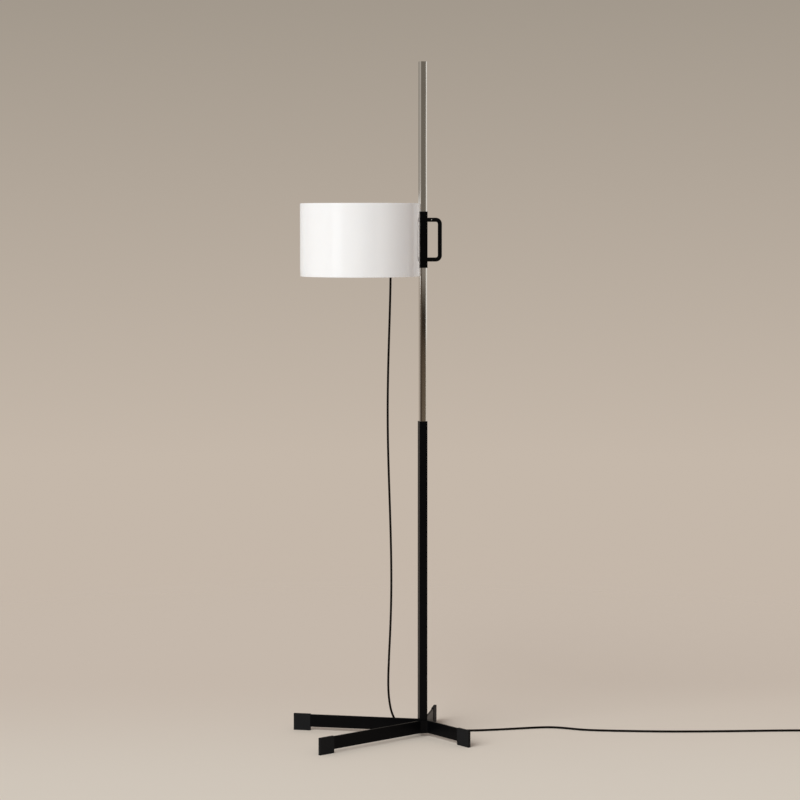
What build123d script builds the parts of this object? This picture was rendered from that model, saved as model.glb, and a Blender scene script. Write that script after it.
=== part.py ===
from build123d import *
import os
from math import cos, pi, radians, sin, sqrt, tan

# Adjustable floor lamp, in millimetres.
# A chromed square mast stands in a black square post on two bent flat bars, and a carriage with an open
# drum shade slides along the mast. The pieces are made with the post's axis on the z axis, the floor at
# z = 0, the shade towards -x and the handle towards +x. At the end the lamp is centred over the origin.

# Square tubes: the post and the carriage are one stock, and the mast runs inside it
MAST_SIDE = 18.6
MAST_WALL = 1.2
MAST_CORNER = 3.0
TUBE_WALL = 0.7
TUBE_CORNER = 1.0
SLIDE_GAP = 0.1
INNER_CORNER = 0.4
TUBE_BORE = MAST_SIDE + 2 * SLIDE_GAP
TUBE_SIDE = TUBE_BORE + 2 * TUBE_WALL

# Heights above the floor
BAR_BOTTOM = 9.2
POST_TOP = 791.0
MAST_TOP = 1684.0
HEAD_Z = 1243.0

# Base bars: flat steel on edge, bent round the post, with a long and a short arm each
BAR_THICKNESS = 5.0
BAR_HEIGHT = 31.5
BAR_EDGE = 0.6
BAR_BEND = 8.0
SEAT_LENGTH = 20.0
LONG_ARM = 317.5
SHORT_ARM = 160.0
LONG_ANGLE = 25.4
SHORT_ANGLE = 65.6

# Moulded shoes over the bar ends
FOOT_LENGTH = 43.3
FOOT_WALL = 1.0
FOOT_ROOF = 1.3
FOOT_FIT = 0.1
FOOT_EDGE = 0.5

# Post and mast fittings
PLUG_FIT = 0.05
PLUG_DEPTH = 14.0
PLUG_LIP = 1.5
MAST_GRIP = 150.0
SEAT_HEIGHT = 25.0
SCREW_DIA = 5.0
SCREW_FIT = 0.05
SCREW_REACH = 6.0
SCREW_SUNK = 0.3
SCREW_INSET = 15.0
SCREW_PITCH = 30.0
HEX_KEY = 2.5
HEX_DEPTH = 2.0
CAP_DEPTH = 12.0
CAP_LIP = 1.5

# Carriage, handle and friction brake
CARRIAGE_LENGTH = 140.0
CARRIAGE_EDGE = 0.4
HANDLE_ROD = 10.4
HANDLE_HEIGHT = 109.2
HANDLE_REACH = 39.3
HANDLE_BEND = 10.2
BRAKE_DIA = 5.0
BRAKE_FIT = 0.05
BRAKE_GAP = 0.02
PIN_DIA = 3.0
PIN_FROM_FACE = 11.0
PIN_PROUD = 0.2

# Shade and its fixing to the carriage
SHADE_DIA = 296.0
SHADE_HEIGHT = 180.0
SHADE_WALL = 3.0
SHADE_RIM = 0.8
SHADE_GAP = 2.0
CURVE_GAP = 0.05
BRACKET_WALL = 2.0
BRACKET_WIDTH = 44.0
BRACKET_HEIGHT = 124.0
STUD_DIA = 5.0
STUD_FIT = 0.2
STUD_SPACING = 90.0
STUD_PROUD = 1.5
SPACER_DIA = 12.0
NUT_WIDTH = 8.0
NUT_HEIGHT = 4.0
NUT_GAP = 0.1
ARM_DIA = 10.0
ARM_WALL = 1.5
ARM_REACH = 56.0
ARM_FIT = 0.1
ARM_SOCKET = 8.0

# Lampholder, turned about the arm's axis
HOLDER_DIA = 39.0
HOLDER_WALL = 2.2
NECK_DIA = 18.0
NECK_LENGTH = 4.0
CAP_SHOULDER = 9.0
CAP_ROUND = 3.0
CAP_LENGTH = 32.0
BODY_LENGTH = 36.0
MOUTH_BEAD = 1.2
MOUTH_LENGTH = 4.0
INSERT_LENGTH = 8.0
INSERT_FIT = 0.1
SHELL_WALL = 0.5
SHELL_GAP = 0.4
SHELL_LENGTH = 24.0
CONTACT_DIA = 8.0
CONTACT_LENGTH = 3.0

# Bulb with an opal globe
BULB_CAP_DIA = 26.2
BULB_CAP_WALL = 0.6
BULB_CAP_LENGTH = 24.0
BULB_CONTACT_DIA = 9.0
BULB_CONTACT_LENGTH = 3.0
NECK_OVERLAP = 8.0
GLASS_FIT = 0.1
GLASS_WALL = 1.0
GLOBE_DIA = 60.0
GLOBE_FROM_CAP = 49.0
NECK_FLARE = 20.0

# Cord gland under the lampholder cap
GLAND_FROM_ARM = 16.0
GLAND_SHANK_DIA = 8.0
GLAND_COLLAR_DIA = 12.0
GLAND_COLLAR = 3.0
GLAND_END_DIA = 8.0
GLAND_LENGTH = 26.0
GLAND_FIT = 0.1
GLAND_INSIDE = 1.0

# Cord: it hangs from the gland, lands behind the base, crosses the floor and ends in a coil and a plug
CORD_DIA = 5.5
BEND_SHARE = 0.45
CORD_HANGING = [
    (-82.1, 0.0, 1194.5),
    (-82.1, 0.0, 1150.0),
    (-82.9, 4.5, 1070.0),
    (-84.3, 9.3, 990.0),
    (-85.3, 14.2, 910.0),
    (-85.2, 19.0, 830.0),
    (-83.6, 23.4, 750.0),
    (-80.6, 27.3, 670.0),
    (-77.0, 30.8, 590.0),
    (-73.6, 34.2, 510.0),
    (-71.0, 37.8, 430.0),
    (-69.9, 41.9, 350.0),
    (-71.0, 46.5, 270.0),
    (-73.8, 51.3, 192.0),
    (-75.2, 54.9, 125.0),
    (-72.4, 56.6, 82.0),
    (-64.6, 56.6, 45.0),
    (-49.5, 55.8, 20.5),
    (-27.0, 54.0, 6.2),
    (0.0, 51.0, CORD_DIA / 2),
]
CORD_ON_FLOOR = [
    (28.0, 46.3),
    (56.0, 38.5),
    (84.0, 28.2),
    (112.0, 18.6),
    (144.0, 11.6),
    (186.0, 8.2),
    (242.0, 7.2),
    (295.0, 6.8),
    (329.0, 3.6),
    (356.0, -7.4),
    (379.0, -25.0),
    (401.0, -43.4),
    (428.0, -58.6),
    (472.0, -75.8),
    (540.0, -99.4),
    (610.0, -121.2),
    (690.0, -140.6),
    (770.0, -157.6),
    (850.0, -172.6),
    (914.0, -186.0),
    (970.0, -199.6),
]
COIL_LOOPS = 2
COIL_RADIUS = 34.0
COIL_PITCH = 6.0
GAP_SAMPLES = 700
TAIL_RUN = 22.0
TAIL_TURN = 8.0

# Two-pin plug
PLUG_LENGTH = 34.0
PLUG_WIDTH = 27.0
PLUG_THICKNESS = 17.5
PLUG_NOSE_WIDTH = 23.0
PLUG_EDGE = 4.0
PLUG_PIN_DIA = 4.0
PLUG_PIN_LENGTH = 19.0
PLUG_PIN_SPACING = 18.6
PLUG_PIN_CHAMFER = 1.0
RELIEF_LENGTH = 22.0
RELIEF_BASE_DIA = 11.0
RELIEF_END_DIA = 8.0

UP = Vector(0, 0, 1)


def beyond_face(distance):
    """x at a distance from the carriage's face, out towards the shade."""
    return -TUBE_SIDE / 2 - distance


SHADE_X = beyond_face(SHADE_GAP + SHADE_DIA / 2)
MAST_BOTTOM = POST_TOP - MAST_GRIP
MAST_BORE = MAST_SIDE - 2 * MAST_WALL
MAST_BORE_CORNER = MAST_CORNER - MAST_WALL
STUD_HEIGHTS = [HEAD_Z + side * STUD_SPACING / 2 for side in (-1, 1)]
SCREW_HEIGHTS = [MAST_BOTTOM + SCREW_INSET, MAST_BOTTOM + SCREW_INSET + SCREW_PITCH]
HANDLE_ARM_Z = (HANDLE_HEIGHT - HANDLE_ROD) / 2
HOLDER = Plane(origin=(beyond_face(ARM_REACH), 0, HEAD_Z), x_dir=(-1, 0, 0), z_dir=(0, 1, 0))


def square_bar(side, corner, bottom, top):
    """Upright square bar with rounded corners on the z axis."""
    return Pos(0, 0, bottom) * extrude(RectangleRounded(side, side, corner), top - bottom)


def fitted_bar(bore, bore_corner, bottom, top):
    """Square bar that fits inside a square tube's bore."""
    return square_bar(bore - 2 * PLUG_FIT, bore_corner + PLUG_FIT, bottom, top)


def hexagon(width):
    """Hexagon by its width across the flats."""
    return RegularPolygon(width / 2, 6, major_radius=False)


def rod(diameter, start, end):
    """Round rod between two points."""
    along = Vector(*end) - Vector(*start)
    return extrude(Plane(origin=start, z_dir=along) * Circle(diameter / 2), along.length)


def turned(*outline):
    """Solid turned about the x axis from the edges of a closed outline."""
    return revolve(make_face(outline), Axis.X)


def ring(start, end, outer_dia, inner_dia):
    """Straight ring about the x axis."""
    return rod(outer_dia, (start, 0, 0), (end, 0, 0)) - rod(inner_dia, (start, 0, 0), (end, 0, 0))


# Base

def bar_ends(side):
    """Bends and ends of one bar's centreline in plan, for the front bar (side -1) or the rear one (1)."""
    seat_y = side * (TUBE_SIDE + BAR_THICKNESS) / 2
    bends = Vector(-SEAT_LENGTH / 2, seat_y), Vector(SEAT_LENGTH / 2, seat_y)
    long_way = Vector(-cos(radians(LONG_ANGLE)), side * sin(radians(LONG_ANGLE)))
    short_way = Vector(cos(radians(SHORT_ANGLE)), side * sin(radians(SHORT_ANGLE)))
    return {"bends": bends, "long": (bends[0] + long_way * LONG_ARM, long_way),
            "short": (bends[1] + short_way * SHORT_ARM, short_way)}


def base_bar(side):
    """Flat bar on edge with a flat seat against the post and two arms."""
    ends = bar_ends(side)
    middle = UP * (BAR_BOTTOM + BAR_HEIGHT / 2)
    corners = [point + middle for point in (ends["long"][0], *ends["bends"], ends["short"][0])]
    path = FilletPolyline(*corners, radius=BAR_BEND)
    across = Plane(origin=path @ 0, x_dir=UP, z_dir=path % 0)
    return sweep(across * RectangleRounded(BAR_HEIGHT, BAR_THICKNESS, BAR_EDGE), path)


def foot(end, outward):
    """Shoe over one bar end, standing on the floor, with a pocket for the bar."""
    length_inside = FOOT_LENGTH - FOOT_WALL
    width = BAR_THICKNESS + 2 * (FOOT_FIT + FOOT_WALL)
    height = BAR_BOTTOM + BAR_HEIGHT + FOOT_ROOF
    low = (Align.MIN, Align.CENTER, Align.MIN)
    shoe = Box(FOOT_LENGTH, width, height, align=low)
    outer_edges = shoe.edges().filter_by(Axis.Z) + shoe.edges().group_by(Axis.Z)[-1]
    shoe = fillet(outer_edges, FOOT_EDGE)
    slack = 2 * FOOT_FIT
    pocket = Box(length_inside + FOOT_FIT, BAR_THICKNESS + slack, BAR_HEIGHT + slack, align=low)
    shoe -= Pos(0, 0, BAR_BOTTOM - FOOT_FIT) * pocket
    place = Plane(origin=end - outward * length_inside, x_dir=outward, z_dir=UP)
    return place * shoe


# Post and mast

def screw_rod(diameter, height, start_y):
    """Round rod along y through the post's rear wall, at one set screw's height."""
    return rod(diameter, (0, TUBE_SIDE / 2 - SCREW_REACH, height), (0, start_y, height))


def set_screws():
    """Two set screws in the post's rear wall, each with a hexagon socket."""
    outer_end = TUBE_SIDE / 2 - SCREW_SUNK
    screws = []
    for height in SCREW_HEIGHTS:
        screw = screw_rod(SCREW_DIA, height, outer_end)
        inwards = Plane(origin=(0, outer_end, height), z_dir=(0, -1, 0))
        screws.append(screw - extrude(inwards * hexagon(HEX_KEY), HEX_DEPTH))
    return Compound(screws)


def with_screw_holes(solid):
    """A piece of the post with the holes that the set screws go through."""
    for height in SCREW_HEIGHTS:
        solid -= screw_rod(SCREW_DIA + 2 * SCREW_FIT, height, TUBE_SIDE / 2 + SCREW_FIT)
    return solid


def post_tube():
    tube = square_bar(TUBE_SIDE, TUBE_CORNER, BAR_BOTTOM, POST_TOP)
    tube -= square_bar(TUBE_BORE, INNER_CORNER, BAR_BOTTOM, POST_TOP)
    return with_screw_holes(tube)


def post_bottom_plug():
    """Push-in plug that closes the post's lower end."""
    lip = square_bar(TUBE_SIDE, TUBE_CORNER, BAR_BOTTOM - PLUG_LIP, BAR_BOTTOM)
    return lip + fitted_bar(TUBE_BORE, INNER_CORNER, BAR_BOTTOM, BAR_BOTTOM + PLUG_DEPTH)


def mast_tube():
    tube = square_bar(MAST_SIDE, MAST_CORNER, MAST_BOTTOM, MAST_TOP - CAP_LIP)
    tube -= square_bar(MAST_BORE, MAST_BORE_CORNER, MAST_BOTTOM, MAST_TOP - CAP_LIP)
    return with_screw_holes(tube)


def mast_seat():
    """Block inside the post that the mast stands on, with a spigot up into the mast for the set screws."""
    block = fitted_bar(TUBE_BORE, INNER_CORNER, MAST_BOTTOM - SEAT_HEIGHT, MAST_BOTTOM)
    spigot_top = MAST_BOTTOM + 2 * SCREW_INSET + SCREW_PITCH
    spigot = fitted_bar(MAST_BORE, MAST_BORE_CORNER, MAST_BOTTOM, spigot_top)
    return with_screw_holes(block + spigot)


def mast_top_cap():
    """Flush plug in the mast's upper end."""
    tube_end = MAST_TOP - CAP_LIP
    lip = square_bar(MAST_SIDE, MAST_CORNER, tube_end, MAST_TOP)
    return lip + fitted_bar(MAST_BORE, MAST_BORE_CORNER, tube_end - CAP_DEPTH, tube_end)


# Carriage and handle

def brake_bore(diameter):
    """Rod along the handle's upper arm, from the mast's face to the brake pin."""
    start = (MAST_SIDE / 2 + BRAKE_GAP, 0, HEAD_Z + HANDLE_ARM_Z)
    end = (TUBE_SIDE / 2 + PIN_FROM_FACE, 0, HEAD_Z + HANDLE_ARM_Z)
    return rod(diameter, start, end)


def brake_pin():
    """Bright cross pin through the handle's upper arm that backs the brake plug."""
    half = HANDLE_ROD / 2 + PIN_PROUD
    x = TUBE_SIDE / 2 + PIN_FROM_FACE
    height = HEAD_Z + HANDLE_ARM_Z
    return rod(PIN_DIA, (x, -half, height), (x, half, height))


def carriage_sleeve():
    bottom = HEAD_Z - CARRIAGE_LENGTH / 2
    top = HEAD_Z + CARRIAGE_LENGTH / 2
    sleeve = square_bar(TUBE_SIDE, TUBE_CORNER, bottom, top)
    levels = sleeve.edges().group_by(Axis.Z)
    sleeve = chamfer(levels[0] + levels[-1], CARRIAGE_EDGE)
    sleeve -= square_bar(TUBE_BORE, INNER_CORNER, bottom, top)
    return sleeve - brake_bore(BRAKE_DIA + 2 * BRAKE_FIT)


def handle():
    """Round rod bent to a D, welded to the carriage, with the brake's bore in its upper arm."""
    face = TUBE_SIDE / 2
    grip = face + HANDLE_REACH - HANDLE_ROD / 2
    low, high = HEAD_Z - HANDLE_ARM_Z, HEAD_Z + HANDLE_ARM_Z
    corners = [(face, 0, low), (grip, 0, low), (grip, 0, high), (face, 0, high)]
    path = FilletPolyline(*corners, radius=HANDLE_BEND)
    bent = sweep(Plane(path ^ 0) * Circle(HANDLE_ROD / 2), path)
    return bent - brake_bore(BRAKE_DIA + 2 * BRAKE_FIT) - brake_pin()


def brake_plug():
    """Friction plug squeezed between the mast and the brake pin."""
    return brake_bore(BRAKE_DIA) - brake_pin()


# Shade and its fixing

def drum(diameter, height):
    """Upright cylinder about the shade's axis."""
    return Pos(SHADE_X, 0, HEAD_Z) * Cylinder(diameter / 2, height)


def fixing_holes(solid):
    """A wall at the shade's fixing with its holes for the two studs and the arm."""
    inner_end = beyond_face(SHADE_GAP + SHADE_WALL + BRACKET_WALL + NUT_HEIGHT)
    outer_end = beyond_face(0)
    for height in STUD_HEIGHTS:
        solid -= rod(STUD_DIA + 2 * STUD_FIT, (outer_end, 0, height), (inner_end, 0, height))
    return solid - rod(ARM_DIA + 2 * ARM_FIT, (outer_end, 0, HEAD_Z), (inner_end, 0, HEAD_Z))


def shade():
    """Open drum with rounded rims."""
    wall = drum(SHADE_DIA, SHADE_HEIGHT) - drum(SHADE_DIA - 2 * SHADE_WALL, SHADE_HEIGHT)
    wall = fillet(wall.edges().filter_by(GeomType.CIRCLE), SHADE_RIM)
    return fixing_holes(wall)


def shade_bracket():
    """Curved plate inside the shade's wall that spreads the load of the two studs."""
    outer = SHADE_DIA - 2 * (SHADE_WALL + CURVE_GAP)
    plate = drum(outer, BRACKET_HEIGHT) - drum(outer - 2 * BRACKET_WALL, BRACKET_HEIGHT)
    reach = BRACKET_WIDTH / 2
    plate &= Pos(beyond_face(0), 0, HEAD_Z) * Box(2 * reach, BRACKET_WIDTH, BRACKET_HEIGHT)
    return fixing_holes(plate)


def shade_studs():
    """Two studs welded to the carriage's face."""
    end = beyond_face(SHADE_GAP + SHADE_WALL + BRACKET_WALL + NUT_HEIGHT + STUD_PROUD)
    studs = [rod(STUD_DIA, (beyond_face(0), 0, height), (end, 0, height)) for height in STUD_HEIGHTS]
    return Compound(studs)


def shade_spacers():
    """Two washers between the carriage and the shade, hollowed to the shade's curve."""
    end = beyond_face(SHADE_GAP + SHADE_WALL)
    washers = []
    for height in STUD_HEIGHTS:
        washer = rod(SPACER_DIA, (beyond_face(0), 0, height), (end, 0, height))
        washer -= drum(SHADE_DIA + 2 * CURVE_GAP, SHADE_HEIGHT)
        washers.append(fixing_holes(washer))
    return Compound(washers)


def shade_nuts():
    """Two hexagon nuts on the studs, inside the shade."""
    seat = beyond_face(SHADE_GAP + SHADE_WALL + CURVE_GAP + BRACKET_WALL + NUT_GAP)
    nuts = []
    for height in STUD_HEIGHTS:
        inwards = Plane(origin=(seat, 0, height), z_dir=(-1, 0, 0))
        nut = extrude(inwards * hexagon(NUT_WIDTH), NUT_HEIGHT)
        nuts.append(nut - rod(STUD_DIA + 2 * PLUG_FIT, (seat, 0, height), (seat - NUT_HEIGHT, 0, height)))
    return Compound(nuts)


def holder_arm():
    """Tube from the carriage's face through the shade's wall to the lampholder."""
    start, end = (beyond_face(0), 0, HEAD_Z), (beyond_face(ARM_REACH + ARM_SOCKET), 0, HEAD_Z)
    return rod(ARM_DIA, start, end) - rod(ARM_DIA - 2 * ARM_WALL, start, end)


# Lampholder and bulb, about the x axis with x = 0 at the arm's end of the cap

def cap_outline(inset):
    """Solid inside the lampholder cap's outer face moved in by an inset, with its rounded shoulder."""
    neck, body = NECK_DIA / 2 - inset, HOLDER_DIA / 2 - inset
    neck_end, shoulder_end = NECK_LENGTH + inset / 2, CAP_SHOULDER + inset / 2
    corners = [(inset, neck), (neck_end, neck), (shoulder_end, body), (CAP_LENGTH, body)]
    profile = FilletPolyline(*corners, radius=CAP_ROUND)
    ends = Polyline((CAP_LENGTH, body), (CAP_LENGTH, 0), (inset, 0), (inset, neck))
    return turned(profile, ends)


def gland_shank(diameter):
    """Upright shank of the gland, through the cap's wall."""
    inner_end = HOLDER_WALL + GLAND_INSIDE - HOLDER_DIA / 2
    return rod(diameter, (GLAND_FROM_ARM, inner_end, 0), (GLAND_FROM_ARM, -HOLDER_DIA / 2, 0))


def lampholder_cap():
    """Hollow cap with a neck for the arm and a hole for the gland."""
    cap = cap_outline(0) - cap_outline(HOLDER_WALL)
    cap -= rod(ARM_DIA + 2 * ARM_FIT, (0, 0, 0), (ARM_SOCKET, 0, 0))
    return HOLDER * (cap - gland_shank(GLAND_SHANK_DIA + 2 * GLAND_FIT))


def cord_gland():
    """Gland that the cord hangs from: a shank, a collar on the cap's underside and a tapered sleeve."""
    below = -HOLDER_DIA / 2 - GLAND_COLLAR
    collar = rod(GLAND_COLLAR_DIA, (GLAND_FROM_ARM, 0, 0), (GLAND_FROM_ARM, below, 0))
    collar -= cap_outline(-CURVE_GAP)
    downwards = Plane(origin=(GLAND_FROM_ARM, below, 0), z_dir=(0, -1, 0))
    sleeve = downwards * Cone(GLAND_COLLAR_DIA / 2, GLAND_END_DIA / 2, GLAND_LENGTH,
                              align=(Align.CENTER, Align.CENTER, Align.MIN))
    return HOLDER * (gland_shank(GLAND_SHANK_DIA) + collar + sleeve)


def lampholder_body():
    """Open sleeve round the socket, with a bead at its mouth."""
    inside = HOLDER_DIA - 2 * HOLDER_WALL
    end = CAP_LENGTH + BODY_LENGTH
    body = ring(CAP_LENGTH, end, HOLDER_DIA, inside)
    bead = ring(end - MOUTH_LENGTH, end, HOLDER_DIA + 2 * MOUTH_BEAD, inside)
    return HOLDER * (body + bead)


def lampholder_insert():
    """Insulating disc that carries the socket's contacts."""
    width = HOLDER_DIA - 2 * HOLDER_WALL - 2 * INSERT_FIT
    return HOLDER * rod(width, (CAP_LENGTH, 0, 0), (CAP_LENGTH + INSERT_LENGTH, 0, 0))


INSERT_FACE = CAP_LENGTH + INSERT_LENGTH
CONTACT_FACE = INSERT_FACE + CONTACT_LENGTH
BULB_CAP_START = CONTACT_FACE + BULB_CONTACT_LENGTH
BULB_CAP_END = BULB_CAP_START + BULB_CAP_LENGTH
GLOBE_X = BULB_CAP_END + GLOBE_FROM_CAP


def lampholder_shell():
    """Metal sleeve that the bulb screws into."""
    bore = BULB_CAP_DIA + 2 * SHELL_GAP
    return HOLDER * ring(INSERT_FACE, INSERT_FACE + SHELL_LENGTH, bore + 2 * SHELL_WALL, bore)


def lampholder_contact():
    return HOLDER * rod(CONTACT_DIA, (INSERT_FACE, 0, 0), (CONTACT_FACE, 0, 0))


def bulb_contact():
    return HOLDER * rod(BULB_CONTACT_DIA, (CONTACT_FACE, 0, 0), (BULB_CAP_START, 0, 0))


def bulb_cap():
    """Cup of sheet metal, open towards the glass."""
    outside = rod(BULB_CAP_DIA, (BULB_CAP_START, 0, 0), (BULB_CAP_END, 0, 0))
    bore = BULB_CAP_DIA - 2 * BULB_CAP_WALL
    inside = rod(bore, (BULB_CAP_START + BULB_CAP_WALL, 0, 0), (BULB_CAP_END, 0, 0))
    return HOLDER * (outside - inside)


def glass_outline(inset):
    """Solid of the bulb's outline moved in by an inset: neck, hollow flare and globe, all tangent."""
    globe = GLOBE_DIA / 2 - inset
    neck = BULB_CAP_DIA / 2 - BULB_CAP_WALL - GLASS_FIT - inset
    flare = NECK_FLARE + inset
    start = BULB_CAP_END - NECK_OVERLAP
    flare_x = GLOBE_X - sqrt((globe - neck) * (globe + neck + 2 * flare))
    share = globe / (globe + flare)
    meet = (GLOBE_X + (flare_x - GLOBE_X) * share, (neck + flare) * share)
    end = (GLOBE_X + globe, 0)
    shoulder = TangentArc((flare_x, neck), meet, tangent=(1, 0))
    crown = ThreePointArc(meet, (GLOBE_X, globe), end)
    base = Polyline(end, (start, 0), (start, neck), (flare_x, neck))
    return turned(shoulder, crown, base)


def bulb_globe():
    """Thin glass, open at its neck."""
    return HOLDER * (glass_outline(0) - glass_outline(GLASS_WALL))


# Cord and plug

def bend_radii(points):
    """Radius of the arc at each inner point of a cord's route, as large as its two runs allow."""
    radii = []
    for before, here, after in zip(points, points[1:], points[2:]):
        arriving, leaving = here - before, after - here
        half_turn = radians(arriving.get_angle(leaving) / 2)
        radii.append(BEND_SHARE * min(arriving.length, leaving.length) / tan(half_turn))
    return radii


def cord_tube(name, path):
    """Tube of the cord's size along a path, with its volume compared with section times length."""
    tube = sweep(Plane(path ^ 0) * Circle(CORD_DIA / 2), path)
    share = tube.volume / (pi * CORD_DIA**2 / 4 * path.length)
    print(f"{name}: length {path.length:.0f} mm, volume {share:.4f} of section times length")
    return tube


def free_cord(name, points):
    """One free stretch of cord: straight runs joined by tangent arcs."""
    radii = bend_radii(points)
    print(f"{name}: bend radii", " ".join(f"{radius:.0f}" for radius in radii))
    return cord_tube(name, FilletPolyline(*points, radius=radii))


def coil_path(start, heading):
    """Coil that spirals in on the floor, climbs a layer in its innermost half turn and spirals out."""
    across = heading.cross(UP)
    innermost = 2 * COIL_LOOPS
    steps = [*range(innermost), innermost, *range(innermost - 1, 0, -1)]
    here = start + heading * CORD_DIA
    edges = [Line(start, here)]
    for count, step in enumerate(steps):
        side = 1 if count % 2 == 0 else -1
        climb = UP * (COIL_PITCH if step == innermost else 0)
        there = here + across * (2 * side * (COIL_RADIUS - step * COIL_PITCH / 2)) + climb
        bulge = (here + there) / 2 + heading * (side * (there - here).length / 2)
        edges.append(ThreePointArc(here, bulge, there))
        here = there
    edges.append(Line(here, here + heading * CORD_DIA))
    return Wire(edges)


def least_gap(path):
    """Least clear gap between a coil's turns, measured between points along its path."""
    points = [path @ (i / GAP_SAMPLES) for i in range(GAP_SAMPLES + 1)]
    apart = int(2 * CORD_DIA / path.length * GAP_SAMPLES) + 1
    nearest = min((there - here).length for i, here in enumerate(points) for there in points[i + apart:])
    return nearest - CORD_DIA


def plug_pieces(place):
    """Plug on its flat side: tapered relief, moulded body and two round pins."""
    relief = Rot(0, 90, 0) * Cone(RELIEF_END_DIA / 2, RELIEF_BASE_DIA / 2, RELIEF_LENGTH,
                                  align=(Align.CENTER, Align.CENTER, Align.MIN))
    back, front = RELIEF_LENGTH, RELIEF_LENGTH + PLUG_LENGTH
    half_back, half_front = PLUG_NOSE_WIDTH / 2, PLUG_WIDTH / 2
    corners = [(back, -half_back), (front, -half_front), (front, half_front), (back, half_back)]
    outline = Polyline(*corners, close=True)
    body = Pos(0, 0, -PLUG_THICKNESS / 2) * extrude(make_face(outline), PLUG_THICKNESS)
    body = fillet(body.edges().filter_by(Axis.Z), PLUG_EDGE)
    pins = []
    for side in (-1, 1):
        y = side * PLUG_PIN_SPACING / 2
        pin = rod(PLUG_PIN_DIA, (front, y, 0), (front + PLUG_PIN_LENGTH, y, 0))
        pins.append(chamfer(pin.edges().group_by(Axis.X)[-1], PLUG_PIN_CHAMFER))
    pieces = {"plug_relief": relief, "plug_body": body, "plug_pins": Compound(pins)}
    return {name: place * piece for name, piece in pieces.items()}


def cord_and_plug():
    """The cord's stretches, its coil, its tail and its plug."""
    hanging = [Vector(*point) for point in CORD_HANGING]
    floor = [Vector(*point, CORD_DIA / 2) for point in CORD_ON_FLOOR]
    meet = (hanging[-1] + floor[0]) / 2
    heading = (floor[-1] - floor[-2]).normalized()
    coil = coil_path(floor[-1], heading)
    print(f"cord_coil: least gap {least_gap(coil):.2f} mm")
    tail_start = coil @ 1
    tail_bend = tail_start + heading * TAIL_RUN
    outward = heading.rotate(Axis.Z, TAIL_TURN)
    tail_end = tail_bend + outward * TAIL_RUN
    pieces = {
        "cord_drop": free_cord("cord_drop", [*hanging, meet]),
        "cord_floor": free_cord("cord_floor", [meet, *floor]),
        "cord_coil": cord_tube("cord_coil", coil),
        "cord_tail": free_cord("cord_tail", [tail_start, tail_bend, tail_end]),
    }
    return pieces | plug_pieces(Plane(origin=tail_end, x_dir=outward, z_dir=UP))


# Assembly

front_bar, rear_bar = bar_ends(-1), bar_ends(1)
lamp = {
    "base_bar_front": base_bar(-1),
    "base_bar_rear": base_bar(1),
    "foot_long_front": foot(*front_bar["long"]),
    "foot_short_front": foot(*front_bar["short"]),
    "foot_long_rear": foot(*rear_bar["long"]),
    "foot_short_rear": foot(*rear_bar["short"]),
    "post_tube": post_tube(),
    "post_bottom_plug": post_bottom_plug(),
    "mast_tube": mast_tube(),
    "mast_seat": mast_seat(),
    "mast_top_cap": mast_top_cap(),
    "mast_set_screws": set_screws(),
    "carriage_sleeve": carriage_sleeve(),
    "handle": handle(),
    "brake_plug": brake_plug(),
    "brake_pin": brake_pin(),
    "shade": shade(),
    "shade_bracket": shade_bracket(),
    "shade_studs": shade_studs(),
    "shade_spacers": shade_spacers(),
    "shade_nuts": shade_nuts(),
    "holder_arm": holder_arm(),
    "lampholder_cap": lampholder_cap(),
    "lampholder_body": lampholder_body(),
    "lampholder_insert": lampholder_insert(),
    "lampholder_shell": lampholder_shell(),
    "lampholder_contact": lampholder_contact(),
    "bulb_contact": bulb_contact(),
    "bulb_cap": bulb_cap(),
    "bulb_globe": bulb_globe(),
    "cord_gland": cord_gland(),
}
box = Compound(list(lamp.values())).bounding_box()
centred = Pos(-box.center().X, -box.center().Y, -box.min.Z)
print(f"post axis at x = {-box.center().X:.3f}, y = {-box.center().Y:.3f}")

os.makedirs("parts", exist_ok=True)
for name, piece in (lamp | cord_and_plug()).items():
    export_step(centred * piece, f"parts/{name}.step")
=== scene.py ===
# %% [markdown]
# # An adjustable floor lamp
#
# The lamp's rigid pieces come from its CAD model: a base of two bent bars, a black post, a bright mast
# and a carriage that carries a drum shade up and down. This notebook gives them their finishes, makes
# the pieces that CAD leaves plain, and sets up the studio. Everything is in metres, and the floor is at
# height 0.

# %% Load the lamp's solids
import math

import bmesh
import bpy
from mathutils import Matrix, Vector


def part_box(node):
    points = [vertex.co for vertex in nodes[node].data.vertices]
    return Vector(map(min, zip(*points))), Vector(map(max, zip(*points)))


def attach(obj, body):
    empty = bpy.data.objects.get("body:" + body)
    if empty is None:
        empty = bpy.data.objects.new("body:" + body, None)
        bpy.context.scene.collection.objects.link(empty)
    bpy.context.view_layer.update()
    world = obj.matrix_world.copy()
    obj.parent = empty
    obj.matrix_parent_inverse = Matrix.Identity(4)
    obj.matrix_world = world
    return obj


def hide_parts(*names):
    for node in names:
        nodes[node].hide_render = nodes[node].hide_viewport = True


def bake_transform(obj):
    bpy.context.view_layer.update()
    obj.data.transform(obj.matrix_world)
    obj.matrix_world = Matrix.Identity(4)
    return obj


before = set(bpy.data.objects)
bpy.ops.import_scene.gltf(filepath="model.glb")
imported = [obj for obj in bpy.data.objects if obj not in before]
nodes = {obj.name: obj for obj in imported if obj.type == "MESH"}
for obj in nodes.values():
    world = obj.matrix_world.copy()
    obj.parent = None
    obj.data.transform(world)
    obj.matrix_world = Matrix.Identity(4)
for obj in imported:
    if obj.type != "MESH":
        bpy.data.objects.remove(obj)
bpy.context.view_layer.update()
scene = bpy.context.scene
scene.view_settings.view_transform = "Standard"
post_low, post_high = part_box("post_tube")
post_foot = Vector(((post_low.x + post_high.x) / 2, (post_low.y + post_high.y) / 2, 0))
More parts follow.
